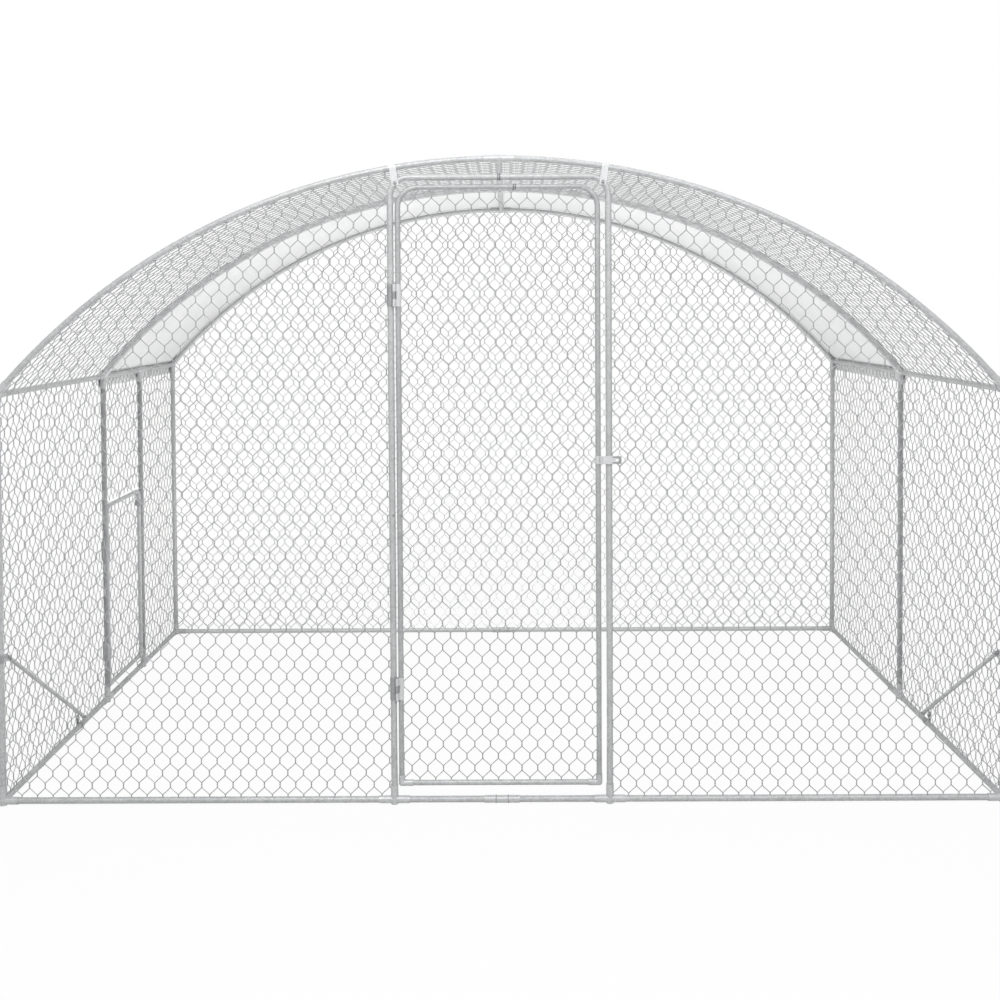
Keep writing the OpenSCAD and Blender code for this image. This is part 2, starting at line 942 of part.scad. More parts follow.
// Outlines of the panels, drawn in from the panel's edge by a margin
module box_outline(width, height, margin) {
  translate([margin, margin])
    square([width - 2 * margin, height - 2 * margin]);
}
module arch_outline(x0, x1, z0, margin) {
  intersection() {
    translate([x0 + margin, z0 + margin])
      square([x1 - x0 - 2 * margin, ridge_h]);
    translate([0, arch_z])
      circle(r = arch_r - arch_inset - margin, $fn = arch_fn);
  }
}
module hoop_outline(width, height, bend, margin) {
  corner = bend - margin;
  translate([margin, margin])
    square([width - 2 * margin, height - margin - bend]);
  translate([bend, margin])
    square([width - 2 * bend, height - 2 * margin]);
  for (x = [bend, width - bend])
    translate([x, height - bend])
      circle(r = corner);
}

module net_box(width, height) {
  upright()
    linear_extrude(net_t, center = true)
      difference() {
        box_outline(width, height, 0);
        intersection() {
          box_outline(width, height, net_border);
          cell_field(width, height);
        }
      }
}
module net_arch(x0, x1) {
  z0 = base_z + net_inset;
  upright()
    linear_extrude(net_t, center = true)
      difference() {
        arch_outline(x0, x1, z0, 0);
        intersection() {
          arch_outline(x0, x1, z0, net_border);
          translate([x0, z0])
            cell_field(x1 - x0, ridge_h - z0);
        }
      }
}
module net_hoop(width, height, bend) {
  upright()
    linear_extrude(net_t, center = true)
      difference() {
        hoop_outline(width, height, bend, 0);
        intersection() {
          hoop_outline(width, height, bend, net_border);
          cell_field(width, height);
        }
      }
}

module net_front_right() {
  color(wire)
    translate([x_mid, y_front, 0])
      net_arch(door_span / 2 + net_inset, half_x - net_inset);
}
module net_front_left() {
  color(wire)
    translate([2 * x_mid, 0, 0])
      mirror([1, 0, 0])
        net_front_right();
}
module net_rear() {
  color(wire)
    translate([x_mid, y_rear, 0])
      net_arch(net_inset - half_x, half_x - net_inset);
}

// Netting in a side wall, between two posts and from a height up to the eaves
module net_wall(x, y0, y1, z0) {
  translate([x, y0 + net_inset, z0])
    rotate([0, 0, 90])
      net_box(y1 - y0 - 2 * net_inset, eave_h - net_inset - z0);
}
wall_z = base_z + net_inset;
module net_left_front() { color(wire) net_wall(x_left, y_front, y_mid, wall_z); }
module net_left_rear() {
  color(wire) {
    net_wall(x_left, y_side, y_rear, wall_z);
    net_wall(x_left, y_mid, y_side, side_top + net_inset);
  }
}
module net_right() {
  color(wire) {
    net_wall(x_right, y_front, y_mid, wall_z);
    net_wall(x_right, y_mid, y_rear, wall_z);
  }
}

module leaf_net() {
  color(wire)
    front_door_place()
      translate([hinge_span + leaf_inset, 0, leaf_foot + leaf_inset])
        net_hoop(leaf_w - 2 * leaf_inset, leaf_top - leaf_foot - 2 * leaf_inset, leaf_bend - leaf_inset);
}
module side_leaf_net() {
  color(wire)
    side_door_place()
      translate([hinge_span + leaf_inset, 0, side_foot + leaf_inset])
        net_hoop(side_w - 2 * leaf_inset, side_top - side_foot - 2 * leaf_inset, side_bend - leaf_inset);
}

// Roof netting over the front bay, in strips that follow the arch
roof_depth = half_y - 2 * net_inset;
roof_sweep = 90 - eave_a - 2 * inset_a;
seam_a = net_gap / arch_r * 180 / PI;
strip_sweep = (roof_sweep - (roof_strips - 1) * seam_a) / roof_strips;
border_a = net_border / arch_r * 180 / PI;
cell_a = cell_w / arch_r * 180 / PI;

// Curved slab about the arch's centre line, along Z
module arch_slab(sweep, depth, thick) {
  rotate_extrude(angle = sweep, $fn = arch_fn)
    translate([arch_r - thick / 2, 0])
      square([thick, depth]);
}
module roof_strip() {
  difference() {
    arch_slab(strip_sweep, roof_depth, net_t);
    intersection() {
      translate([0, 0, net_border])
        rotate([0, 0, border_a])
          arch_slab(strip_sweep - 2 * border_a, roof_depth - 2 * net_border, net_t + 2 * cut);
      for (row = [0 : ceil(roof_depth / row_h)])
        for (column = [0 : ceil(strip_sweep / cell_a)])
          rotate([0, 0, (column + (row % 2) / 2) * cell_a])
            translate([arch_r, 0, row * row_h])
              rotate([90, 0, 90])
                linear_extrude(net_t + 4 * cut, center = true)
                  cell_hole();
    }
  }
}
module net_roof() {
  color(wire)
    both_sides()
      translate([0, y_mid - net_inset, arch_z])
        upright()
          for (strip = [0 : roof_strips - 1])
            rotate([0, 0, eave_a + inset_a + strip * (strip_sweep + seam_a)])
              roof_strip();
}

// Cover over the rear bay: along the arch, round the eave rails and down as a short skirt
cover_depth = half_y + 2 * fit_r;

// Area below the cover's face at a distance from the frame's centre lines, about the arch's centre
module cover_area(offset_r, skirt) {
  eave_z = eave_h - arch_z;
  intersection() {
    circle(r = arch_r + offset_r, $fn = arch_fn);
    polygon([
      [0, 0], [2 * half_x, 2 * eave_z], [2 * half_x, 4 * eave_z],
      [-2 * half_x, 4 * eave_z], [-2 * half_x, 2 * eave_z]
    ]);
  }
  for (x = [-half_x, half_x])
    translate([x, eave_z])
      circle(r = offset_r);
  translate([-half_x - offset_r, eave_z - skirt])
    square([2 * (half_x + offset_r), skirt]);
}
module roof_cover() {
  color(sheet)
    translate([x_mid, y_rear + fit_r, arch_z])
      upright()
        linear_extrude(cover_depth)
          difference() {
            cover_area(cover_r + cover_t, cover_skirt);
            cover_area(cover_r, cover_skirt + cut);
          }
}

post(x_left, y_front);  // front_post_left
post(x_right, y_front);  // front_post_right
post(x_left, y_mid);  // mid_post_left
post(x_right, y_mid);  // mid_post_right
post(x_left, y_rear);  // rear_post_left
post(x_right, y_rear);  // rear_post_right
arch_half(y_front, -1);  // front_arch_left
arch_half(y_front, 1);  // front_arch_right
arch_half(y_mid, -1);  // mid_arch_left
arch_half(y_mid, 1);  // mid_arch_right
arch_half(y_rear, -1);  // rear_arch_left
arch_half(y_rear, 1);  // rear_arch_right
ridge_rails();
eave_rails(x_left);  // eave_rails_left
eave_rails(x_right);  // eave_rails_right
base_rails_across(y_front);  // base_rails_front
base_rails_across(y_rear);  // base_rails_rear
base_rails_side(x_left);  // base_rails_left
base_rails_side(x_right);  // base_rails_right
base_couplers();
base_fittings();
post_tees();
eave_fittings();
ridge_fittings();
door_posts();
door_frame_left();
door_frame_right();
door_frame_straps();
frame_bolts();
side_door_post();
braces();
brace_brackets();
hinge_post_clamps();
hinge_pins();
latch_keepers();
net_front_left();
net_front_right();
net_left_front();
net_left_rear();
net_right();
net_rear();
net_roof();
roof_cover();
leaf_stiles();
leaf_hoop_left();
leaf_hoop_right();
leaf_bottom_rail();
leaf_elbows();
leaf_net();
leaf_hinge_clamps();
leaf_latch_clamp();
leaf_hasp();
side_leaf_hoop();
side_leaf_bottom_rail();
side_leaf_elbows();
side_leaf_net();
side_leaf_hinge_clamps();
side_leaf_latch_clamp();
side_leaf_hasp();
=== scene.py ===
# %% [markdown]
# # A walk-in chicken run
# The run is a frame of galvanised tubes under an arched roof. Hexagonal wire netting closes the
# walls and the front half of the roof, and a plain cover lies over the rear half.
# The tubes, fittings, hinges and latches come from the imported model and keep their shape.
# This lesson gives them their finish and makes what a solid cannot show well: the netting, the
# cover, and a few small screws and beads.

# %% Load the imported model
import json
import math

import bpy
from mathutils import Matrix, Vector


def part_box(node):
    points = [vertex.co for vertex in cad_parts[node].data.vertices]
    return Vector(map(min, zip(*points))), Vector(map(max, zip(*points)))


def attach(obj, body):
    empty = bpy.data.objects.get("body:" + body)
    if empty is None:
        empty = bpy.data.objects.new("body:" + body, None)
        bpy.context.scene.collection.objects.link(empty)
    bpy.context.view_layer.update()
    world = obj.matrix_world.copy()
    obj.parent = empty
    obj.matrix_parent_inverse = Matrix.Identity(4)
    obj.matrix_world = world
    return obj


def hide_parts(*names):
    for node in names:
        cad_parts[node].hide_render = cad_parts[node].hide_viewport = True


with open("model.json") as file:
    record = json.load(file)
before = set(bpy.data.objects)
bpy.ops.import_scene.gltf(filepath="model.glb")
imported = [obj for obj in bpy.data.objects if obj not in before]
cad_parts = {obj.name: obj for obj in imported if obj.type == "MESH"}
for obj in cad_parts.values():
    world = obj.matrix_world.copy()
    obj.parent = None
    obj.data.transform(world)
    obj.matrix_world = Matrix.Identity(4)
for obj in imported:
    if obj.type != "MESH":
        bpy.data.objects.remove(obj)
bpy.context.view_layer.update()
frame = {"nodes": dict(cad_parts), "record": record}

print("nodes in the model:", len(frame["nodes"]))

# %% [markdown]
# ## The frame's own lines
# The new pieces have to meet the tubes, so their sizes are taken from the tubes themselves.
# A node's box gives the middle of a post or rail. The width between the posts and the heights of
# the eaves and the ridge give the circle of the roof.

# %% Measure the tubes
def low_corner(node):
    return Vector(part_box(node)[0])


def high_corner(node):
    return Vector(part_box(node)[1])


def middle(node):
    return (low_corner(node) + high_corner(node)) / 2


TUBE_R = (high_corner("front_post_left").x - low_corner("front_post_left").x) / 2
LEAF_R = (high_corner("leaf_bottom_rail").z - low_corner("leaf_bottom_rail").z) / 2
LEFT_POSTS = ("front_post_left", "mid_post_left", "rear_post_left")
LEVEL_RAILS = ("base_rails_front", "eave_rails_left", "ridge_rails")
X_LEFT, X_RIGHT = middle("rear_post_left").x, middle("rear_post_right").x
Y_FRONT, Y_MID, Y_REAR = (middle(post).y for post in LEFT_POSTS)
BASE_Z, EAVE_Z, RIDGE_Z = (middle(rail).z for rail in LEVEL_RAILS)
X_MID = (X_LEFT + X_RIGHT) / 2
HALF_W = (X_RIGHT - X_LEFT) / 2
ROOF_RISE = RIDGE_Z - EAVE_Z
ARCH_R = (HALF_W ** 2 + ROOF_RISE ** 2) / (2 * ROOF_RISE)
ARCH_Z = RIDGE_Z - ARCH_R
EAVE_TURN = math.asin(HALF_W / ARCH_R)
print("arch radius %.3f m, half turn %.1f degrees" % (ARCH_R, math.degrees(EAVE_TURN)))

# %% [markdown]
# ## The camera
# The photograph was taken from in front, a little above the eaves, with the lens held nearly level.
# The place and lens below were solved from the posts, rails and arches seen in the picture.
# A small downward shift frames the run as the photograph does, so the posts stay upright.

# %% Camera
CAMERA_AT = Vector((0.0207, -4.7234, 1.4785))
CAMERA_YAW, CAMERA_PITCH, CAMERA_ROLL = -0.00476, -0.03032, -0.00564
FOCAL_PIXELS, IMAGE_PIXELS, SENSOR_MM = 1267.0, 1000.0, 36.0
AXIS_ROW, VIEW_DEPTH = 345.6, 100


def camera_turn(yaw, pitch, roll):
    level = math.cos(pitch)
    ahead = Vector((math.sin(yaw) * level, math.cos(yaw) * level, math.sin(pitch)))
    across = Vector((math.cos(yaw), -math.sin(yaw), 0))
    up = across.cross(ahead)
    right = across * math.cos(roll) + up * math.sin(roll)
    top = -across * math.sin(roll) + up * math.cos(roll)
    return Matrix((right, top, -ahead)).transposed().to_euler()


camera_angles = camera_turn(CAMERA_YAW, CAMERA_PITCH, CAMERA_ROLL)
bpy.ops.object.camera_add(location=CAMERA_AT, rotation=camera_angles)
camera = bpy.context.object
camera.name = "camera"
camera.data.sensor_width = SENSOR_MM
camera.data.lens = FOCAL_PIXELS / IMAGE_PIXELS * SENSOR_MM
camera.data.shift_y = (AXIS_ROW - IMAGE_PIXELS / 2) / IMAGE_PIXELS
camera.data.clip_end = VIEW_DEPTH
bpy.context.scene.camera = camera
bpy.context.scene.view_settings.view_transform = "Standard"
print("lens %.1f mm, shift %.3f" % (camera.data.lens, camera.data.shift_y))

# %% [markdown]
# ## Floor and light
# The photograph has a white ground and no strong shadow. The world is grey for the light that
# falls on the run, and white where the camera or a reflection looks past it.
# Two wide lamps in front and one above give the tubes a bright middle and darker edges, and a weak
# one near the ground stands for the light that a white floor throws up under the roof.
# The floor looks white as well, and near the run it shows a small share of its own shade, which
# keeps a faint shadow there.

# %% Helpers: nodes and links
def add_node(nodes, kind, inputs):
    """A new node with some of its inputs set."""
    node = nodes.new(kind)
    for socket, value in inputs.items():
        node.inputs[socket].default_value = value
    return node


def combine(nodes, links, operation, first, second):
    """One value made from two by a Math node."""
    both = nodes.new("ShaderNodeMath")
    both.operation = operation
    links.new(first, both.inputs[0])
    links.new(second, both.inputs[1])
    return both.outputs[0]


def mix_shaders(nodes, links, share, first, second):
    """The first shader where the share is 0, and the second where it is 1."""
    mix = nodes.new("ShaderNodeMixShader")
    links.new(share, mix.inputs[0])
    links.new(first.outputs[0], mix.inputs[1])
    links.new(second.outputs[0], mix.inputs[2])
    return mix.outputs[0]


def white_seen_directly(nodes, links):
    """1 for what the camera, a reflection or glass looks at, and 0 for all other light."""
    path = nodes.new("ShaderNodeLightPath")
    camera_ray, glossy_ray = path.outputs["Is Camera Ray"], path.outputs["Is Glossy Ray"]
    seen = combine(nodes, links, "MAXIMUM", camera_ray, glossy_ray)
    return combine(nodes, links, "MAXIMUM", seen, path.outputs["Is Transmission Ray"])


# %% World
WHITE, AMBIENT = (1, 1, 1, 1), 0.42


def dress_world(world):
    nodes, links = world.node_tree.nodes, world.node_tree.links
    nodes.clear()
    light = add_node(nodes, "ShaderNodeBackground", {"Color": WHITE, "Strength": AMBIENT})
    back = add_node(nodes, "ShaderNodeBackground", {"Color": WHITE, "Strength": 1})
    seen = white_seen_directly(nodes, links)
    out = nodes.new("ShaderNodeOutputWorld")
    links.new(mix_shaders(nodes, links, seen, light, back), out.inputs["Surface"])


studio = bpy.data.worlds.new("studio")
bpy.context.scene.world = studio
studio.use_nodes = True
dress_world(studio)
print("ambient light", AMBIENT)

# %% Lamps
# Each lamp has its place, the point that it faces, its width in metres and its power in watts.
LAMPS = {
    "key": ((-0.9, -3.9, 3.9), (0, -0.6, 1.5), 2.2, 114),
    "fill": ((1.9, -4.0, 3.5), (0, -0.6, 1.4), 2.4, 58),
    "top": ((0.3, 0.5, 4.6), (0, 0, 0.9), 4.0, 46),
    "bounce": ((0, 0.2, 0.02), (0, 0.2, 2), 1.8, 25),
}


def add_lamp(name, place, target, size, power):
    aim = Vector(target) - Vector(place)
    turn = aim.to_track_quat("-Z", "Y").to_euler()
    bpy.ops.object.light_add(type="AREA", location=place, rotation=turn)
    lamp = bpy.context.object
    lamp.name = name
    lamp.data.shape = "DISK"
    lamp.data.size = size
    lamp.data.energy = power
    lamp.visible_camera = False


for lamp_name, (place, target, size, power) in LAMPS.items():
    add_lamp(lamp_name, place, target, size, power)
print("lamps:", ", ".join(LAMPS))

# %% Floor
FLOOR_SIZE, FLOOR_WHITE, FLOOR_DROP = 60, 0.75, 0.0005
SHADOW_SHARE, SHADOW_NEAR, SHADOW_FAR = 0.06, 2.0, 6.0


def new_finish(name):
    finish = bpy.data.materials.new(name)
    finish.use_nodes = True
    return finish, finish.node_tree.nodes, finish.node_tree.links


def pale_floor():
    finish, nodes, links = new_finish("pale_floor")
    nodes.clear()
    grey = (FLOOR_WHITE, FLOOR_WHITE, FLOOR_WHITE, 1)
    paint = add_node(nodes, "ShaderNodeBsdfDiffuse", {"Color": grey})
    glow = add_node(nodes, "ShaderNodeEmission", {"Color": WHITE, "Strength": 1})
    place = nodes.new("ShaderNodeTexCoord")
    near = nodes.new("ShaderNodeVectorMath")
    near.operation = "LENGTH"
    links.new(place.outputs["Object"], near.inputs[0])
    fade = add_node(nodes, "ShaderNodeMapRange", {
        "From Min": SHADOW_NEAR, "From Max": SHADOW_FAR, "To Min": 1 - SHADOW_SHARE, "To Max": 1})
    links.new(near.outputs["Value"], fade.inputs["Value"])
    seen = white_seen_directly(nodes, links)
    share = combine(nodes, links, "MULTIPLY", seen, fade.outputs["Result"])
    out = nodes.new("ShaderNodeOutputMaterial")
    links.new(mix_shaders(nodes, links, share, paint, glow), out.inputs["Surface"])
    return finish


def select_none():
    if bpy.context.object and bpy.context.object.mode != "OBJECT":
        bpy.ops.object.mode_set(mode="OBJECT")
    bpy.ops.object.select_all(action="DESELECT")


select_none()
bpy.ops.mesh.primitive_plane_add(size=FLOOR_SIZE, location=(0, 0, -FLOOR_DROP))
floor = bpy.context.object
floor.name = "floor"
bpy.ops.object.transform_apply(location=True)
floor.data.materials.append(pale_floor())
print("floor", FLOOR_SIZE, "m across")

# %% [markdown]
# ## Galvanised finishes
# Hot-dip zinc sets in flat crystals, so the tubes carry a faint pattern of patches with its own
# roughness, and cloudy tone where the zinc has weathered. A picture of zinc could be wrapped round
# the tubes, but a pattern of cells in space needs no unwrapping and has one scale on every piece.
# The fittings and the rear arch are brighter, the small hardware darker, and the wire is dull.
# The leaf's thinner tubes are a little darker than the front frame, and the middle posts and
# the side door's post darker still; both are painted shade. The leaf's hinge and latch pieces,
# the straps and the hasps are pale plating, and the rear base rail has the same pale finish as
# painted light. The crimps at the top joints are the darkest.

# %% Helpers: tone, spread and bump
def tone_ramp(nodes, ends, dark, bright):
    """A ramp between two colours, which is flat outside its two ends."""
    ramp = nodes.new("ShaderNodeValToRGB")
    for stop, position, colour in zip(ramp.color_ramp.elements, ends, (dark, bright)):
        stop.position = position
        stop.color = (*colour, 1)
    return ramp


def spread(nodes, links, source, low, high):
    """A value from 0 to 1, spread between two others."""
    wider = add_node(nodes, "ShaderNodeMapRange", {"To Min": low, "To Max": high})
    links.new(source, wider.inputs["Value"])
    return wider.outputs["Result"]


def emboss(nodes, links, shader, height, strength, depth):
    bump = add_node(nodes, "ShaderNodeBump", {"Strength": strength, "Distance": depth})
    links.new(height, bump.inputs["Height"])
    links.new(bump.outputs["Normal"], shader.inputs["Normal"])


# %% Helper: zinc finish
ZINC_SPECULAR, ZINC_ENDS = 0.35, (0.15, 0.85)
CLOUD_SCALE, CLOUD_DETAIL, CLOUD_SHARE = 9, 5, 0.55
GRIT_SCALE, GRIT_DETAIL, GRIT_DEPTH = 700, 2, 0.0004


def zinc(name, dark, bright, crystal, rough, metal, grit):
    """Zinc of two tones in patches of about crystal metres, rough between two values."""
    finish, nodes, links = new_finish(name)
    shader = nodes["Principled BSDF"]
    shader.inputs["Metallic"].default_value = metal
    shader.inputs["Specular IOR Level"].default_value = ZINC_SPECULAR
    place = nodes.new("ShaderNodeTexCoord")
    patch = add_node(nodes, "ShaderNodeTexVoronoi", {"Scale": 1 / crystal, "Randomness": 1})
    cloud = add_node(nodes, "ShaderNodeTexNoise", {"Scale": CLOUD_SCALE, "Detail": CLOUD_DETAIL})
    fine = add_node(nodes, "ShaderNodeTexNoise", {"Scale": GRIT_SCALE, "Detail": GRIT_DETAIL})
    for texture in (patch, cloud, fine):
        links.new(place.outputs["Object"], texture.inputs["Vector"])
    grey = nodes.new("ShaderNodeSeparateColor")
    links.new(patch.outputs["Color"], grey.inputs["Color"])
    blend = add_node(nodes, "ShaderNodeMix", {"Factor": CLOUD_SHARE})
    links.new(grey.outputs["Red"], blend.inputs["A"])
    links.new(cloud.outputs["Fac"], blend.inputs["B"])
    tone = tone_ramp(nodes, ZINC_ENDS, dark, bright)
    links.new(blend.outputs["Result"], tone.inputs["Fac"])
    links.new(tone.outputs["Color"], shader.inputs["Base Color"])
    links.new(spread(nodes, links, grey.outputs["Green"], *rough), shader.inputs["Roughness"])
    emboss(nodes, links, shader, fine.outputs["Fac"], grit, GRIT_DEPTH)
    return finish


# %% Zinc on tubes, fittings, hardware and wire
ZINC_TINT = (0, 0.005, 0.01)


def greys(low, high):
    """Two greys with the faint blue of zinc."""
    return tuple(tuple(tone + tint for tint in ZINC_TINT) for tone in (low, high))


FINISHES = {
    "tube": zinc("galvanised_tube", *greys(0.36, 0.52), 0.006, (0.34, 0.50), 0.15, 0.10),
    # The leaf's tubes: a darker grey, which is painted shade.
    "leaf tube": zinc("leaf_tube_painted_shade", *greys(0.30, 0.44), 0.006, (0.34, 0.50), 0.15, 0.10),
    # The middle posts and the side door's post: a darker grey still, which is painted shade.
    "inner tube": zinc("inner_tube_painted_shade", *greys(0.22, 0.34), 0.006, (0.40, 0.56), 0.15, 0.12),
    "fitting": zinc("bright_zinc_fitting", *greys(0.42, 0.57), 0.004, (0.30, 0.44), 0.20, 0.08),
    "hardware": zinc("plated_hardware", *greys(0.25, 0.38), 0.003, (0.34, 0.50), 0.35, 0.12),
    # Pale plating of the leaf's small parts; on the rear base rail this pale grey is painted light.
    "pale": zinc("pale_plating_and_painted_light", *greys(0.52, 0.64), 0.003, (0.34, 0.50), 0.10, 0.06),
    "crimp": zinc("dark_crimped_joint", *greys(0.09, 0.16), 0.003, (0.40, 0.56), 0.15, 0.10),
    "netting": zinc("dull_zinc_wire", *greys(0.32, 0.45), 0.010, (0.45, 0.60), 0.15, 0.05),
}
OTHER_FINISH = {
    # The rear base rail takes the pale finish as painted light.
    "pale": (
        "leaf_hinge_clamps", "leaf_latch_clamp", "leaf_hasp", "side_leaf_hasp",
        "door_frame_straps", "base_rails_rear"),
    # The leaf's tubes take the darker grey of painted shade.
    "leaf tube": ("leaf_stiles", "leaf_hoop_left", "leaf_hoop_right"),
    # The middle posts and the side door's post take the darker grey of painted shade.
    "inner tube": ("mid_post_left", "mid_post_right", "side_door_post"),
    "fitting": ("rear_arch_left", "rear_arch_right"),
}
finish_of = {part["node"]: part["material_slot"] for part in frame["record"]["subparts"]}
for finish_name, node_names in OTHER_FINISH.items():
    finish_of.update({node_name: finish_name for node_name in node_names})
for node_name, node in frame["nodes"].items():
    if finish_of.get(node_name) in FINISHES:
        node.data.materials.clear()
        node.data.materials.append(FINISHES[finish_of[node_name]])
print("finishes:", ", ".join(FINISHES))

# %% [markdown]
# ## The weave of the netting
# Hexagonal netting is made of pairs of wires. Two neighbours twist once round each other, part, and
# twist with the neighbour on the other side in the next row. A picture with holes would be flat,
# and a lattice of bars would miss the twists, so one wire is extruded along its real path.
# The wire is soft, so it leaves a twist in a curve and the cells look round. At each bend the ring
# is tipped half way, so the wire keeps its width. Its partner is the same wire turned half round,
# and Array repeats the pair up and across. The front's wire is drawn heavier than the other walls'.

# %% Helpers: the path of one wire
CELL_W, ROW_H, TWIST_H = 0.0468, 0.0362, 0.014
TWIST_R, TWIST_STEPS = 0.0010, 3
BEND_ACROSS, BEND_UP = 0.06, 0.12
SLOPE_W, SLOPE_H = CELL_W / 2 - 2 * TWIST_R, ROW_H - TWIST_H
BEND_LEAN = math.atan2(BEND_ACROSS * SLOPE_W, BEND_UP * SLOPE_H)
SLOPE_LEAN = math.atan2((1 - 2 * BEND_ACROSS) * SLOPE_W, (1 - 2 * BEND_UP) * SLOPE_H)
TWIST_TIP, SLOPE_TIP = BEND_LEAN / 2, (BEND_LEAN + SLOPE_LEAN) / 2


def twist_path(axis_x, z, start, side):
    """Points of one full turn about a twist's axis, with the tip of the ring at each."""
    tips = [TWIST_TIP * side] + [0] * (TWIST_STEPS - 1) + [-TWIST_TIP * side]
    path = []
    for step, tip in enumerate(tips):
        turn = start + 2 * math.pi * step / TWIST_STEPS
        rise = TWIST_H * (step / TWIST_STEPS - 0.5)
        place = (axis_x + TWIST_R * math.cos(turn), TWIST_R * math.sin(turn), z + rise)
        path.append((Vector(place), tip))
    return path


def slope_path(here, there, side):
    """Where the wire has curved out of one twist, and where it starts to curve into the next."""
    bend = Vector((BEND_ACROSS * (there.x - here.x), 0, BEND_UP * (there.z - here.z)))
    return [(here + bend, -SLOPE_TIP * side), (there - bend, -SLOPE_TIP * side)]


def wire_path():
    low, high = twist_path(0, 0, 0, 1), twist_path(CELL_W / 2, ROW_H, math.pi, -1)
    again = (low[0][0] + Vector((0, 0, 2 * ROW_H)), low[0][1])
    out = slope_path(low[-1][0], high[0][0], 1)
    back = slope_path(high[-1][0], again[0], -1)
    return low + out + high + back + [again]


print("cells %.1f mm wide, in rows of %.1f mm" % (CELL_W * 1000, ROW_H * 1000))

# %% Helpers: one pair of wires
FRONT_WIRE, WALL_WIRE, WIRE_SIDES = 0.0014, 0.00115, 4


def tip_ring(angle, place):
    if angle:
        bpy.ops.transform.rotate(value=angle, orient_axis="Y", center_override=place)


def wire_pair(name, wire_r):
    select_none()
    bpy.ops.mesh.primitive_circle_add(
        vertices=WIRE_SIDES, radius=wire_r, fill_type="NOTHING", location=(0, 0, 0))
    pair = bpy.context.object
    pair.name = name
    path = wire_path()
    bpy.ops.object.mode_set(mode="EDIT")
    bpy.ops.mesh.select_all(action="SELECT")
    bpy.ops.transform.translate(value=path[0][0])
    tip_ring(path[0][1], path[0][0])
    for (here, old_tip), (there, new_tip) in zip(path, path[1:]):
        bpy.ops.mesh.extrude_region_move(TRANSFORM_OT_translate={"value": there - here})
        tip_ring(new_tip - old_tip, there)
    bpy.ops.mesh.select_all(action="SELECT")
    bpy.ops.mesh.duplicate()
    bpy.ops.transform.rotate(value=math.pi, orient_axis="Z", center_override=(0, 0, 0))
    bpy.ops.mesh.select_all(action="SELECT")
    bpy.ops.mesh.normals_make_consistent(inside=False)
    bpy.ops.object.mode_set(mode="OBJECT")
    return pair


print("wire %.1f mm thick in front, %.1f mm elsewhere" % (FRONT_WIRE * 2000, WALL_WIRE * 2000))

# %% Helpers: cuts along sides and circles
CUT_TOLERANCE = 1e-6


def cut_away(cuts):
    """Keeps what lies behind every cut. A cut is a point and the direction of what goes."""
    bpy.ops.object.mode_set(mode="EDIT")
    for point, away in cuts:
        bpy.ops.mesh.select_all(action="SELECT")
        bpy.ops.mesh.bisect(
            plane_co=point, plane_no=away, clear_outer=True, threshold=CUT_TOLERANCE)
    bpy.ops.mesh.select_all(action="SELECT")
    bpy.ops.mesh.fill_holes(sides=0)
    bpy.ops.object.mode_set(mode="OBJECT")


def box_cuts(x0, x1, z0, z1):
    return [
        (Vector((x0, 0, 0)), Vector((-1, 0, 0))), (Vector((x1, 0, 0)), Vector((1, 0, 0))),
        (Vector((0, 0, z0)), Vector((0, 0, -1))), (Vector((0, 0, z1)), Vector((0, 0, 1))),
    ]


def round_cuts(x, z, radius, first, last, count):
    """Straight cuts that touch a circle between two angles."""
    cuts = []
    for step in range(count):
        turn = first + (last - first) * (step + 0.5) / count
        away = Vector((math.cos(turn), 0, math.sin(turn)))
        cuts.append((Vector((x, 0, z)) + away * radius, away))
    return cuts


# %% Helpers: a field of netting
SPARE_CELLS, MERGE_WITHIN = 2, WALL_WIRE / 20


def repeat(piece, count, step):
    array = piece.modifiers.new("repeat", "ARRAY")
    array.use_relative_offset = False
    array.use_constant_offset = True
    array.constant_offset_displace = step
    array.count = count
    array.use_merge_vertices = True
    array.merge_threshold = MERGE_WITHIN
    bpy.ops.object.modifier_apply(modifier=array.name)


def netting(name, wire_r, x0, x1, z0, z1, cuts=(), slide=0.0):
    """Flat netting in the plane of X and Z, between four sides and inside the extra cuts."""
    field = wire_pair(name, wire_r)
    repeat(field, math.ceil((z1 - z0) / (2 * ROW_H)) + SPARE_CELLS, (0, 0, 2 * ROW_H))
    repeat(field, math.ceil((x1 - x0) / CELL_W) + SPARE_CELLS, (CELL_W, 0, 0))
    bpy.ops.object.mode_set(mode="EDIT")
    bpy.ops.mesh.select_all(action="SELECT")
    bpy.ops.transform.translate(value=(x0 - CELL_W / 2 - slide, 0, z0 - ROW_H))
    bpy.ops.object.mode_set(mode="OBJECT")
    cut_away(box_cuts(x0, x1, z0, z1) + list(cuts))
    return field


# %% Helpers: join, set down and hang
def pick(piece):
    select_none()
    bpy.context.view_layer.objects.active = piece
    piece.select_set(True)


def set_down(piece, place, turn=(0, 0, 0)):
    """Moves a finished piece to its place and leaves its object at the origin."""
    pick(piece)
    piece.location, piece.rotation_euler = place, turn
    bpy.ops.object.transform_apply(location=True, rotation=True, scale=True)


def join(name, pieces):
    pick(pieces[0])
    for piece in pieces[1:]:
        piece.select_set(True)
    if len(pieces) > 1:
        bpy.ops.object.join()
    pieces[0].name = name
    return pieces[0]


def hang_net(piece, body, node):
    piece.data.materials.clear()
    piece.data.materials.append(FINISHES["netting"])
    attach(piece, body)
    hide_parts(node)
    print(piece.name, len(piece.data.polygons), "faces")


# %% [markdown]
# ## Netting in the front and rear
# These panels end in the roof arch, so the field of cells is cut by the posts, the base rail and a
# fan of short straight cuts along the arch. The wires run right up to the tubes that hold them.
# The rear wall is wide, so its netting is two lengths that meet in the middle. The panel to the
# right of the door is of two lengths too, whose cells don't line up where one ends above the other.

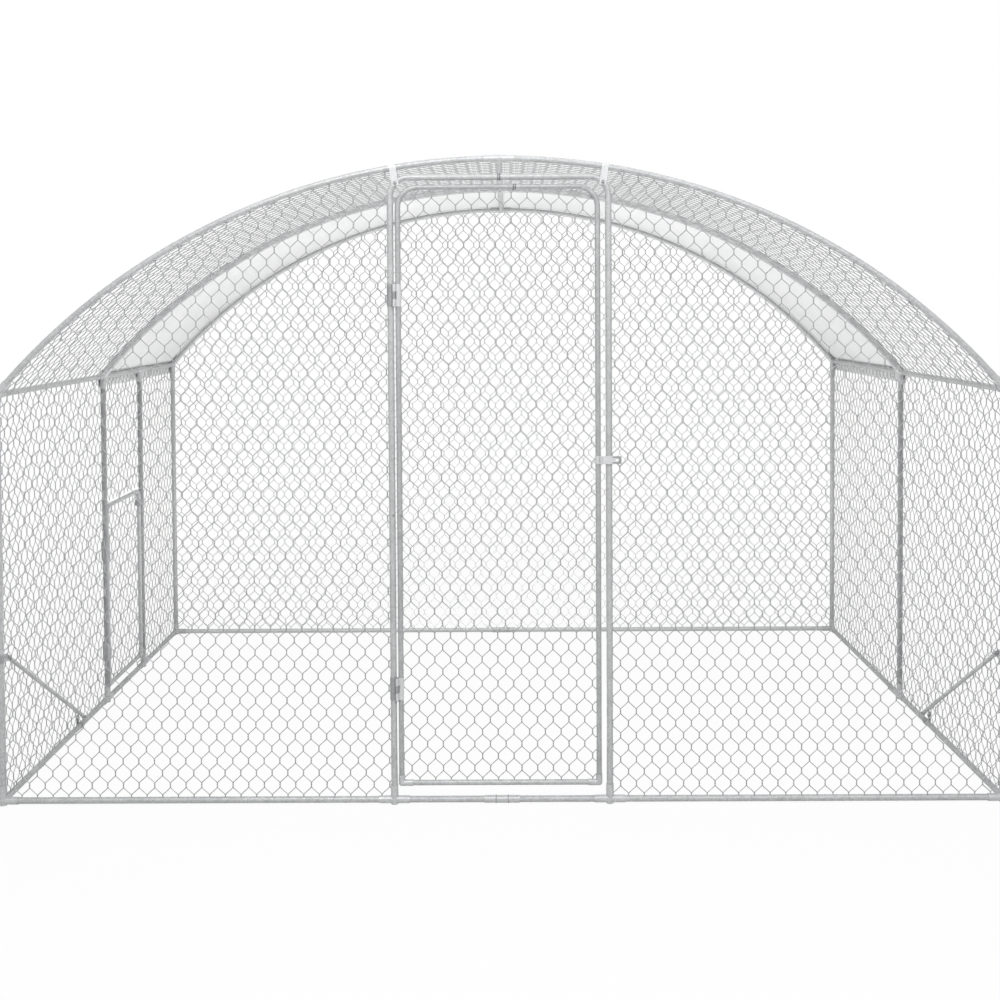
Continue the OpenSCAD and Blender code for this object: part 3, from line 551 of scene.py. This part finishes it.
# %% Front and rear netting
BITE = 0.0008
TUBE_EDGE, LEAF_EDGE = TUBE_R - BITE, LEAF_R - BITE
ARCH_CUTS, UPRIGHT = 30, math.pi / 2
DOOR_LEFT = low_corner("door_posts").x + TUBE_R
DOOR_RIGHT = high_corner("door_posts").x - TUBE_R
FOOT_Z, SEAM_Z, SEAM_SLIDE = BASE_Z + TUBE_EDGE, 1.203, 0.014
arch_cuts = round_cuts(
    X_MID, ARCH_Z, ARCH_R - TUBE_EDGE, UPRIGHT - EAVE_TURN, UPRIGHT + EAVE_TURN, ARCH_CUTS)
to_left, to_right = ([(Vector((X_MID, 0, 0)), Vector((away, 0, 0)))] for away in (1, -1))
END_WALLS = {
    "wire_net_front_left": (
        "net_front_left", X_LEFT, DOOR_LEFT, Y_FRONT, [], [FOOT_Z, RIDGE_Z]),
    "wire_net_front_right": (
        "net_front_right", DOOR_RIGHT, X_RIGHT, Y_FRONT, [], [FOOT_Z, SEAM_Z, RIDGE_Z]),
    "wire_net_rear_left": ("net_rear", X_LEFT, X_RIGHT, Y_REAR, to_left, [FOOT_Z, RIDGE_Z]),
    "wire_net_rear_right": ("net_rear", X_LEFT, X_RIGHT, Y_REAR, to_right, [FOOT_Z, RIDGE_Z]),
}
for net_name, (node_name, x0, x1, y, half, heights) in END_WALLS.items():
    wire_r = FRONT_WIRE if y == Y_FRONT else WALL_WIRE
    sides, cuts = (x0 + TUBE_EDGE, x1 - TUBE_EDGE), half + arch_cuts
    lengths = [
        netting("length", wire_r, *sides, z0, z1, cuts, SEAM_SLIDE * row)
        for row, (z0, z1) in enumerate(zip(heights, heights[1:]))
    ]
    net = join(net_name, lengths)
    set_down(net, (0, y, 0))
    hang_net(net, "frame", node_name)

# %% [markdown]
# ## Netting in the side walls
# A side panel is a plain rectangle, drawn like the front ones and then turned a quarter about Z.
# The left wall has a low opening for the side door, so its rear part is made of two rectangles.

# %% Side netting
SIDE_POST_Y = middle("side_door_post").y
SIDE_TOP = high_corner("side_leaf_hoop").z - LEAF_R
SIDE_LINTEL, WALL_TOP = SIDE_TOP + TUBE_EDGE, EAVE_Z - TUBE_EDGE
SIDE_WALLS = {
    "net_left_front": (X_LEFT, [(Y_FRONT, Y_MID, BASE_Z)]),
    "net_left_rear": (X_LEFT, [(SIDE_POST_Y, Y_REAR, BASE_Z), (Y_MID, SIDE_POST_Y, SIDE_LINTEL)]),
    "net_right": (X_RIGHT, [(Y_FRONT, Y_MID, BASE_Z), (Y_MID, Y_REAR, BASE_Z)]),
}
for node_name, (x, panels) in SIDE_WALLS.items():
    nets = [
        netting("panel", WALL_WIRE, y0 + TUBE_EDGE, y1 - TUBE_EDGE, z0 + TUBE_EDGE, WALL_TOP)
        for y0, y1, z0 in panels
    ]
    net = join("wire_" + node_name, nets)
    set_down(net, (x, 0, 0), (0, 0, math.pi / 2))
    hang_net(net, "frame", node_name)

# %% [markdown]
# ## Netting on the roof
# A roll of netting is laid over the arch from eave to eave, so here the twists follow the arch. It
# is made in two halves, which end at the ridge tube. They are cut flat, at their length along the
# arch, and a Simple Deform bends them to the arch's radius. Cutting them to a curved outline
# afterwards would leave ragged ends at the tubes.

# %% Roof netting
def bend_to_arch(piece, radius):
    """Bends a flat piece, drawn along X, so that its X runs along the arch."""
    pick(piece)
    along = [v.co.x for v in piece.data.vertices]
    bend = piece.modifiers.new("bend", "SIMPLE_DEFORM")
    bend.deform_method = "BEND"
    bend.deform_axis = "Z"
    bend.angle = (max(along) - min(along)) / radius
    bpy.ops.object.modifier_apply(modifier=bend.name)


ROOF_REACH = ARCH_R * EAVE_TURN - TUBE_EDGE
roof_halves = [
    netting("half", WALL_WIRE, Y_FRONT + TUBE_EDGE, Y_MID - TUBE_EDGE, z0, z1)
    for z0, z1 in ((-ROOF_REACH, -TUBE_EDGE), (TUBE_EDGE, ROOF_REACH))
]
roof_net = join("wire_net_roof", roof_halves)
set_down(roof_net, (0, 0, 0), (0, -math.pi / 2, 0))
bend_to_arch(roof_net, ARCH_R)
set_down(roof_net, (X_MID, 0, RIDGE_Z), (-math.pi / 2, 0, 0))
hang_net(roof_net, "frame", "net_roof")

# %% [markdown]
# ## Netting in the two doors
# Each leaf is a hoop of thinner tube with round top corners, so two fans of cuts round the corners.

# %% Door netting
CORNER_CUTS, LEAF_BEND, SIDE_BEND = 6, 0.060, 0.035


def hoop_netting(name, wire_r, x0, x1, z0, z1, bend):
    radius = bend - LEAF_EDGE
    cuts = round_cuts(x1 - bend, z1 - bend, radius, 0, math.pi / 2, CORNER_CUTS)
    cuts += round_cuts(x0 + bend, z1 - bend, radius, math.pi / 2, math.pi, CORNER_CUTS)
    sides, ends = (x0 + LEAF_EDGE, x1 - LEAF_EDGE), (z0 + LEAF_EDGE, z1 - LEAF_EDGE)
    return netting(name, wire_r, *sides, *ends, cuts)


leaf_left = low_corner("leaf_stiles").x + LEAF_R
leaf_right = high_corner("leaf_stiles").x - LEAF_R
leaf_foot = middle("leaf_bottom_rail").z
leaf_top = high_corner("leaf_hoop_left").z - LEAF_R
leaf_net = hoop_netting(
    "wire_leaf_net", FRONT_WIRE, leaf_left, leaf_right, leaf_foot, leaf_top, LEAF_BEND)
set_down(leaf_net, (0, Y_FRONT, 0))
hang_net(leaf_net, "door", "leaf_net")
side_near = low_corner("side_leaf_hoop").y + LEAF_R
side_far = high_corner("side_leaf_hoop").y - LEAF_R
side_foot = middle("side_leaf_bottom_rail").z
side_net = hoop_netting(
    "wire_side_leaf_net", WALL_WIRE, side_near, side_far, side_foot, SIDE_TOP, SIDE_BEND)
set_down(side_net, (X_LEFT, 0, 0), (0, 0, math.pi / 2))
hang_net(side_net, "side_door", "side_leaf_net")

# %% [markdown]
# ## The cover
# A plain woven sheet lies over the rear bay and turns down over the eave rails in a short skirt.
# It is drawn as one strip along its own section, extruded from the middle arch to the rear arch,
# and let down a little between the tubes that carry it. A cloth simulation would find the same
# shallow hollow, so a sine does it here. Solidify gives it the thickness of cloth, and each end
# gets a hem, which is a band of the same cloth folded back on top.

# %% Cover section
COVER_CLEAR, COVER_T = 0.0036, 0.0009
COVER_LIFT, COVER_SKIRT, COVER_EDGE = TUBE_R + COVER_CLEAR, 0.040, 0.0112
ARCH_STEPS, TURN_STEPS, SKIRT_STEPS, COVER_ROWS = 48, 5, 4, 24


def cover_section(lift):
    """Points from the left skirt over the ridge to the right skirt, about the run's middle."""
    radius = ARCH_R + lift
    right = []
    for step in range(ARCH_STEPS + 1):
        turn = EAVE_TURN * step / ARCH_STEPS
        right.append(Vector((radius * math.sin(turn), 0, ARCH_Z + radius * math.cos(turn))))
    for step in range(1, TURN_STEPS + 1):
        turn = EAVE_TURN + (math.pi / 2 - EAVE_TURN) * step / TURN_STEPS
        right.append(Vector((HALF_W + lift * math.sin(turn), 0, EAVE_Z + lift * math.cos(turn))))
    for step in range(1, SKIRT_STEPS + 1):
        right.append(Vector((HALF_W + lift, 0, EAVE_Z - COVER_SKIRT * step / SKIRT_STEPS)))
    left = [Vector((-p.x, p.y, p.z)) for p in reversed(right[1:])]
    return left + right


cover_depth = Y_REAR - Y_MID + 2 * COVER_EDGE

# %% Helpers: sag and threads of the cloth
SAG = 0.010


def let_down(piece):
    """Lowers the cloth between the tubes that it lies on."""
    for v in piece.data.vertices:
        turn = math.atan2(v.co.x - X_MID, v.co.z - ARCH_Z)
        across = math.sin(math.pi * min(1, abs(turn) / EAVE_TURN)) ** 2
        along = max(0, min(1, (v.co.y - Y_MID) / (Y_REAR - Y_MID)))
        drop = SAG * across * math.sin(math.pi * along)
        v.co -= Vector((math.sin(turn), 0, math.cos(turn))) * drop


def lay_threads(piece):
    """A UV map in metres: along the arch and from front to rear, as the threads run."""
    threads = piece.data.uv_layers.new(name="threads")
    for loop in piece.data.loops:
        place = piece.data.vertices[loop.vertex_index].co
        turn = math.atan2(place.x - X_MID, place.z - ARCH_Z)
        skirt = max(0, EAVE_Z - place.z) if abs(turn) > EAVE_TURN else 0
        along = ARCH_R * turn + math.copysign(skirt, turn)
        threads.data[loop.index].uv = (along, place.y)


# %% Helpers: a strip of cloth over the arch
START_SIZE, CLOTH_SMOOTH = 0.01, math.radians(40)


def draw_line(name, points):
    """A line of edges from a plane merged to one point. It is left open in edit mode."""
    select_none()
    bpy.ops.mesh.primitive_plane_add(size=START_SIZE, location=(0, 0, 0))
    line = bpy.context.object
    line.name = name
    bpy.ops.object.mode_set(mode="EDIT")
    bpy.ops.mesh.select_all(action="SELECT")
    bpy.ops.mesh.merge(type="CENTER")
    bpy.ops.transform.translate(value=points[0])
    for here, there in zip(points, points[1:]):
        bpy.ops.mesh.extrude_vertices_move(TRANSFORM_OT_translate={"value": there - here})
    return line


def strip(name, lift, y, depth, rows):
    piece = draw_line(name, [p + Vector((X_MID, y, 0)) for p in cover_section(lift)])
    bpy.ops.mesh.select_all(action="SELECT")
    for _ in range(rows):
        bpy.ops.mesh.extrude_region_move(TRANSFORM_OT_translate={"value": (0, depth / rows, 0)})
    bpy.ops.mesh.select_all(action="SELECT")
    bpy.ops.mesh.normals_make_consistent(inside=False)
    bpy.ops.object.mode_set(mode="OBJECT")
    let_down(piece)
    lay_threads(piece)
    return piece


def thicken(piece, thickness):
    pick(piece)
    thick = piece.modifiers.new("thickness", "SOLIDIFY")
    thick.thickness = thickness
    thick.offset = 1
    bpy.ops.object.modifier_apply(modifier=thick.name)
    bpy.ops.object.shade_smooth_by_angle(angle=CLOTH_SMOOTH)


# %% [markdown]
# ## Cloth
# The cover is a pale sheet woven from flat plastic tape. The tapes are a few millimetres wide, so
# two crossed waves on the sheet's own map give the weave as a bump, and a broad noise gives the
# uneven tone of cloth. Some light comes through it, which subsurface scattering does on a thin
# sheet.

# %% Cloth finish
CLOTH_GREY, CLOTH_ROUGH, CLOTH_SHEEN = 0.80, 0.7, 0.1
GLOW_SHARE, GLOW_RADIUS, GLOW_SCALE = 0.5, (1, 1, 1), 0.004
MOTTLE_SCALE, MOTTLE_DETAIL, MOTTLE_ENDS = 3, 6, (0.3, 0.7)
DULL_TINT, CLEAN_TINT = (0.95, 0.955, 0.955), (1, 1.005, 1.005)
TAPE_W, WEAVE_STRENGTH, WEAVE_DEPTH = 0.0025, 0.2, 0.0003
WAVE_LENGTH = 2 * math.pi / 20  # of a Wave texture at a scale of 1


def cloth(name, tone):
    finish, nodes, links = new_finish(name)
    shader = nodes["Principled BSDF"]
    shader.inputs["Roughness"].default_value = CLOTH_ROUGH
    shader.inputs["Sheen Weight"].default_value = CLOTH_SHEEN
    shader.inputs["Subsurface Weight"].default_value = GLOW_SHARE
    shader.inputs["Subsurface Radius"].default_value = GLOW_RADIUS
    shader.inputs["Subsurface Scale"].default_value = GLOW_SCALE
    place = nodes.new("ShaderNodeTexCoord")
    cloud = add_node(nodes, "ShaderNodeTexNoise", {"Scale": MOTTLE_SCALE, "Detail": MOTTLE_DETAIL})
    links.new(place.outputs["Object"], cloud.inputs["Vector"])
    dull, clean = ([tone * share for share in tint] for tint in (DULL_TINT, CLEAN_TINT))
    shade = tone_ramp(nodes, MOTTLE_ENDS, dull, clean)
    links.new(cloud.outputs["Fac"], shade.inputs["Fac"])
    links.new(shade.outputs["Color"], shader.inputs["Base Color"])
    tapes = []
    for direction in ("X", "Y"):
        tape = add_node(nodes, "ShaderNodeTexWave", {"Scale": WAVE_LENGTH / TAPE_W})
        tape.bands_direction = direction
        links.new(place.outputs["UV"], tape.inputs["Vector"])
        tapes.append(tape.outputs["Fac"])
    weave = combine(nodes, links, "MAXIMUM", *tapes)
    emboss(nodes, links, shader, weave, WEAVE_STRENGTH, WEAVE_DEPTH)
    return finish


woven = cloth("woven_cover", CLOTH_GREY)
print("cloth of %.1f mm tape" % (TAPE_W * 1000))

# %% Cover and hems
HEM_W, HEM_T, HEM_GAP, HEM_ROWS = 0.030, 0.0007, 0.0001, 2
HEM_LIFT = COVER_LIFT + COVER_T + HEM_GAP
cover = strip("cover_sheet", COVER_LIFT, Y_MID - COVER_EDGE, cover_depth, COVER_ROWS)
thicken(cover, COVER_T)
hem_ends = (Y_MID - COVER_EDGE, Y_REAR + COVER_EDGE - HEM_W)
hems = [strip("hem", HEM_LIFT, y, HEM_W, HEM_ROWS) for y in hem_ends]
for hem in hems:
    thicken(hem, HEM_T)
cover_hem = join("cover_hem", hems)
for piece in (cover, cover_hem):
    piece.data.materials.append(woven)
    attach(piece, "frame")
    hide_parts("roof_cover")
print("cover", len(cover.data.polygons), "faces, hems", len(cover_hem.data.polygons))

# %% [markdown]
# ## Screws and beads
# Two things are too small for the solids: the screws that hold the door's tubes together at their
# joints, and the rolled beads that stop a base rail half way in its sleeve. The same beads, closer
# together, crimp the joints at the top of the door frame and of the leaf, where they show as a dark
# mark. A screw head starts as a short cylinder, whose outer face is inset and sunk for the driver,
# and a bead as a flattened ring.

# %% Screw heads at the door's tube joints
HEAD_R, HEAD_H, HEAD_SIDES = 0.0042, 0.0026, 20
RIM_SHARE, CROWN_SHARE, HEAD_SMOOTH = 0.25, 0.12, math.radians(30)
SOCKET_R, SOCKET_D, FACES_UP = 0.0020, 0.0014, 0.9
SCREW_UP, SCREW_TURN, SEAT = 0.006, math.radians(24), 0.0006


def screw_head(name, axis, tube_r):
    select_none()
    bpy.ops.mesh.primitive_cylinder_add(
        vertices=HEAD_SIDES, radius=HEAD_R, depth=HEAD_H, location=(0, 0, HEAD_H / 2))
    head = bpy.context.object
    head.name = name
    bpy.ops.object.transform_apply(location=True)
    bpy.ops.object.mode_set(mode="EDIT")
    bpy.ops.mesh.select_all(action="DESELECT")
    bpy.ops.object.mode_set(mode="OBJECT")
    for face in head.data.polygons:
        face.select = face.normal.z > FACES_UP
    bpy.ops.object.mode_set(mode="EDIT")
    bpy.ops.mesh.select_mode(type="FACE")
    bpy.ops.mesh.inset(thickness=HEAD_R * RIM_SHARE, depth=0)
    bpy.ops.transform.translate(value=(0, 0, HEAD_R * CROWN_SHARE))
    bpy.ops.mesh.inset(thickness=HEAD_R * (1 - RIM_SHARE) - SOCKET_R, depth=0)
    bpy.ops.mesh.extrude_region_move(TRANSFORM_OT_translate={"value": (0, 0, -SOCKET_D)})
    bpy.ops.object.mode_set(mode="OBJECT")
    bpy.ops.object.shade_smooth_by_angle(angle=HEAD_SMOOTH)
    outward = Vector((math.sin(SCREW_TURN), -math.cos(SCREW_TURN), 0))
    set_down(head, axis + outward * (tube_r - SEAT), (math.pi / 2, 0, SCREW_TURN))
    return head


post_joint_z, stile_joint_z = low_corner("door_frame_left").z, low_corner("leaf_hoop_left").z
JOINTS = {
    "post_joint_screw": ("frame", Vector((DOOR_LEFT, Y_FRONT, post_joint_z)), TUBE_R),
    "stile_joint_screw": ("door", Vector((leaf_left, Y_FRONT, stile_joint_z)), LEAF_R),
}
for screw_name, (body, axis, tube_r) in JOINTS.items():
    screw = screw_head(screw_name, axis + Vector((0, 0, SCREW_UP)), tube_r)
    screw.data.materials.append(FINISHES["hardware"])
    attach(screw, body)
print("screws:", ", ".join(JOINTS))

# %% Beads on the base rails' sleeves and at the top joints
BEAD_R, BEAD_STRETCH, BEAD_SMOOTH = 0.0009, 1.8, math.radians(60)
BEAD_STEPS, BEAD_SIDES = 32, 8
SLEEVE_APART, CRIMP_APART = 0.018, 0.0028


def bead(place, tube_r):
    select_none()
    bpy.ops.mesh.primitive_torus_add(
        major_segments=BEAD_STEPS, minor_segments=BEAD_SIDES, major_radius=tube_r,
        minor_radius=BEAD_R, location=(0, 0, 0))
    ring = bpy.context.object
    bpy.ops.object.mode_set(mode="EDIT")
    bpy.ops.mesh.select_all(action="SELECT")
    bpy.ops.transform.resize(value=(1, 1, BEAD_STRETCH))
    bpy.ops.object.mode_set(mode="OBJECT")
    bpy.ops.object.shade_smooth_by_angle(angle=BEAD_SMOOTH)
    set_down(ring, place, (0, math.pi / 2, 0))
    return ring


sleeve_low, sleeve_high = low_corner("base_couplers"), high_corner("base_couplers")
sleeve_mid, sleeve_r = (sleeve_low + sleeve_high) / 2, (sleeve_high.z - sleeve_low.z) / 2
header_end, leaf_end = high_corner("door_frame_left"), high_corner("leaf_hoop_left")
sleeves = [(sleeve_mid.x, y, sleeve_mid.z) for y in (Y_FRONT, Y_REAR)]
header_joint = (header_end.x, Y_FRONT, header_end.z - TUBE_R)
leaf_joint = (leaf_end.x, Y_FRONT, leaf_end.z - LEAF_R)
RINGS = {
    "sleeve_beads": ("frame", "hardware", sleeve_r, SLEEVE_APART, sleeves),
    "header_crimps": ("frame", "crimp", TUBE_R, CRIMP_APART, [header_joint]),
    "leaf_crimps": ("door", "crimp", LEAF_R, CRIMP_APART, [leaf_joint]),
}
for ring_name, (body, finish, tube_r, apart, places) in RINGS.items():
    rings = [bead((x + side * apart, y, z), tube_r) for side in (-1, 1) for x, y, z in places]
    beads = join(ring_name, rings)
    beads.data.materials.append(FINISHES[finish])
    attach(beads, body)
    print(ring_name, len(beads.data.polygons), "faces")
